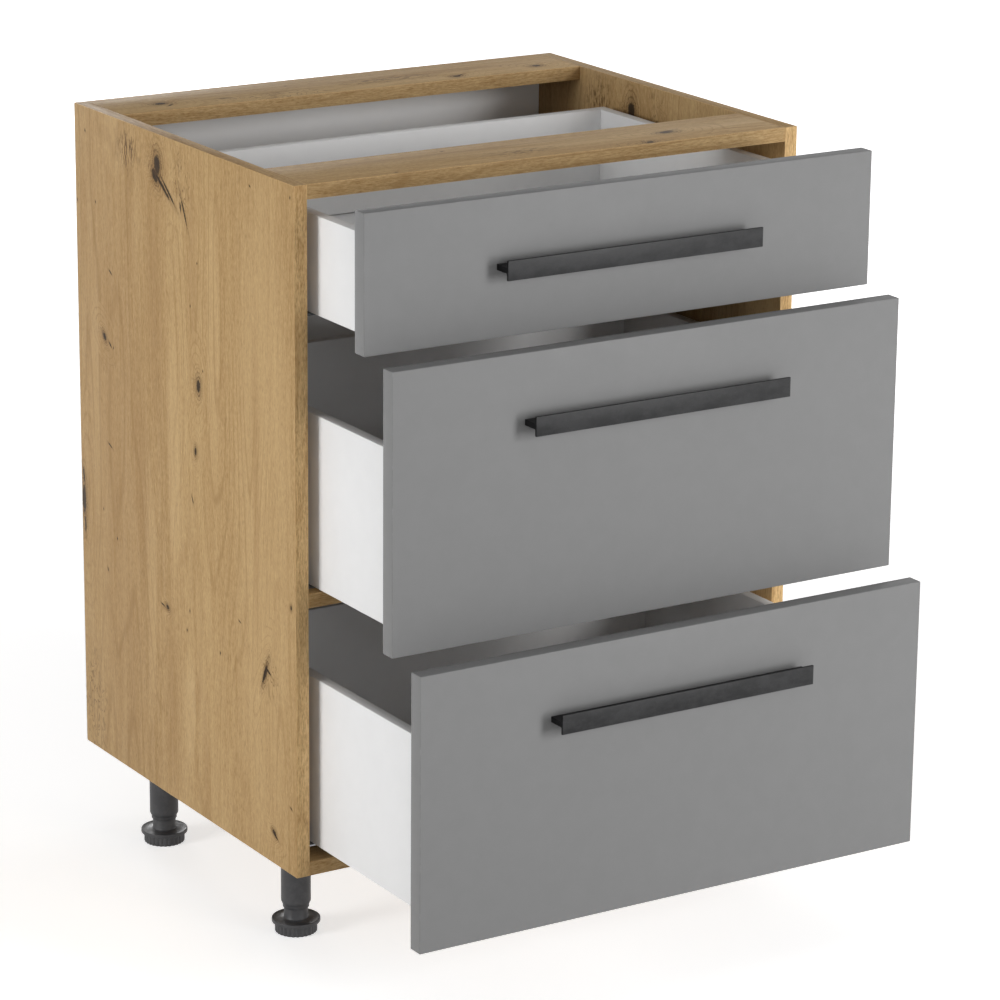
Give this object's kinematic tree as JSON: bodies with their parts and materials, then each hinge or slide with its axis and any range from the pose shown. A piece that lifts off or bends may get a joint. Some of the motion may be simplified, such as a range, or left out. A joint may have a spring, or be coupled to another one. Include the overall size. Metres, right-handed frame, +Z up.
{
  "type": "base cabinet with drawers",
  "caption": "Kitchen base cabinet with oak-look carcass, grey drawer fronts, black bar handles and white drawer boxes on concealed runners, standing on adjustable legs.",
  "frame": {"origin": "on the floor under the middle of the bounding box, with the drawers open as stored", "axes": "+Z up, the drawers open towards -Y, +X to the right seen from the front"},
  "size_m": [0.6, 0.745, 0.82],
  "materials": {
    "oak_board": "laminate printed with oak grain, matt",
    "white_board": "white laminate, satin",
    "grey_front": "grey laminate, super matt",
    "beech": "raw",
    "black_handle": "black powder coat, satin",
    "black_plastic": "moulded, matt",
    "galvanised_steel": "galvanised, dull",
    "screw_steel": "zinc plated",
    "nylon": "natural"
  },
  "bodies": {
    "carcass": {"back_panel": "white_board", "back_panel_screws": "screw_steel", "biscuits": "beech", "bottom_panel": "oak_board", "cabinet_runner_bottom_left": "galvanised_steel", "cabinet_runner_bottom_right": "galvanised_steel", "cabinet_runner_middle_left": "galvanised_steel", "cabinet_runner_middle_right": "galvanised_steel", "cabinet_runner_top_left": "galvanised_steel", "cabinet_runner_top_right": "galvanised_steel", "cross_rail": "oak_board", "leg_front_left": "black_plastic", "leg_front_right": "black_plastic", "leg_rear_left": "black_plastic", "leg_rear_right": "black_plastic", "leg_screws": "screw_steel", "runner_screws": "screw_steel", "side_panel_left": "oak_board", "side_panel_right": "oak_board", "top_rail_front": "oak_board", "top_rail_rear": "oak_board"},
    "drawer_top": {"drawer_top_back": "white_board", "drawer_top_base": "white_board", "drawer_top_front": "grey_front", "drawer_top_handle": "black_handle", "drawer_top_inner_front": "white_board", "drawer_top_rail_left": "galvanised_steel", "drawer_top_rail_right": "galvanised_steel", "drawer_top_screws": "screw_steel", "drawer_top_side_left": "white_board", "drawer_top_side_right": "white_board"},
    "carriages_top": {"drawer_top_carriages": "nylon"},
    "drawer_middle": {"drawer_middle_back": "white_board", "drawer_middle_base": "white_board", "drawer_middle_front": "grey_front", "drawer_middle_handle": "black_handle", "drawer_middle_inner_front": "white_board", "drawer_middle_rail_left": "galvanised_steel", "drawer_middle_rail_right": "galvanised_steel", "drawer_middle_screws": "screw_steel", "drawer_middle_side_left": "white_board", "drawer_middle_side_right": "white_board"},
    "carriages_middle": {"drawer_middle_carriages": "nylon"},
    "drawer_bottom": {"drawer_bottom_back": "white_board", "drawer_bottom_base": "white_board", "drawer_bottom_front": "grey_front", "drawer_bottom_handle": "black_handle", "drawer_bottom_inner_front": "white_board", "drawer_bottom_rail_left": "galvanised_steel", "drawer_bottom_rail_right": "galvanised_steel", "drawer_bottom_screws": "screw_steel", "drawer_bottom_side_left": "white_board", "drawer_bottom_side_right": "white_board"},
    "carriages_bottom": {"drawer_bottom_carriages": "nylon"},
    "foot_front_left": {"foot_front_left": "black_plastic"},
    "foot_front_right": {"foot_front_right": "black_plastic"},
    "foot_rear_left": {"foot_rear_left": "black_plastic"},
    "foot_rear_right": {"foot_rear_right": "black_plastic"}
  },
  "joints": [
    {"name": "drawer_top_slide", "type": "slide", "parent": "carcass", "child": "drawer_top", "axis": [0, -1, 0], "range_m": [-0.1135, 0.215]},
    {"name": "carriages_top_slide", "type": "slide", "parent": "carcass", "child": "carriages_top", "axis": [0, -1, 0], "range_m": [-0.05675, 0.1075]},
    {"name": "drawer_middle_slide", "type": "slide", "parent": "carcass", "child": "drawer_middle", "axis": [0, -1, 0], "range_m": [-0.1675, 0.161]},
    {"name": "carriages_middle_slide", "type": "slide", "parent": "carcass", "child": "carriages_middle", "axis": [0, -1, 0], "range_m": [-0.08375, 0.0805]},
    {"name": "drawer_bottom_slide", "type": "slide", "parent": "carcass", "child": "drawer_bottom", "axis": [0, -1, 0], "range_m": [-0.2215, 0.107]},
    {"name": "carriages_bottom_slide", "type": "slide", "parent": "carcass", "child": "carriages_bottom", "axis": [0, -1, 0], "range_m": [-0.11075, 0.0535]},
    {"name": "foot_front_left_height", "type": "slide", "parent": "carcass", "child": "foot_front_left", "axis": [0, 0, -1], "range_m": [0, 0.02]},
    {"name": "foot_front_right_height", "type": "slide", "parent": "carcass", "child": "foot_front_right", "axis": [0, 0, -1], "range_m": [0, 0.02]},
    {"name": "foot_rear_left_height", "type": "slide", "parent": "carcass", "child": "foot_rear_left", "axis": [0, 0, -1], "range_m": [0, 0.02]},
    {"name": "foot_rear_right_height", "type": "slide", "parent": "carcass", "child": "foot_rear_right", "axis": [0, 0, -1], "range_m": [0, 0.02]}
  ],
  "couplings": [
    {"joint": "carriages_top_slide", "follows": "drawer_top_slide", "ratio": 0.5},
    {"joint": "carriages_middle_slide", "follows": "drawer_middle_slide", "ratio": 0.5},
    {"joint": "carriages_bottom_slide", "follows": "drawer_bottom_slide", "ratio": 0.5}
  ]
}
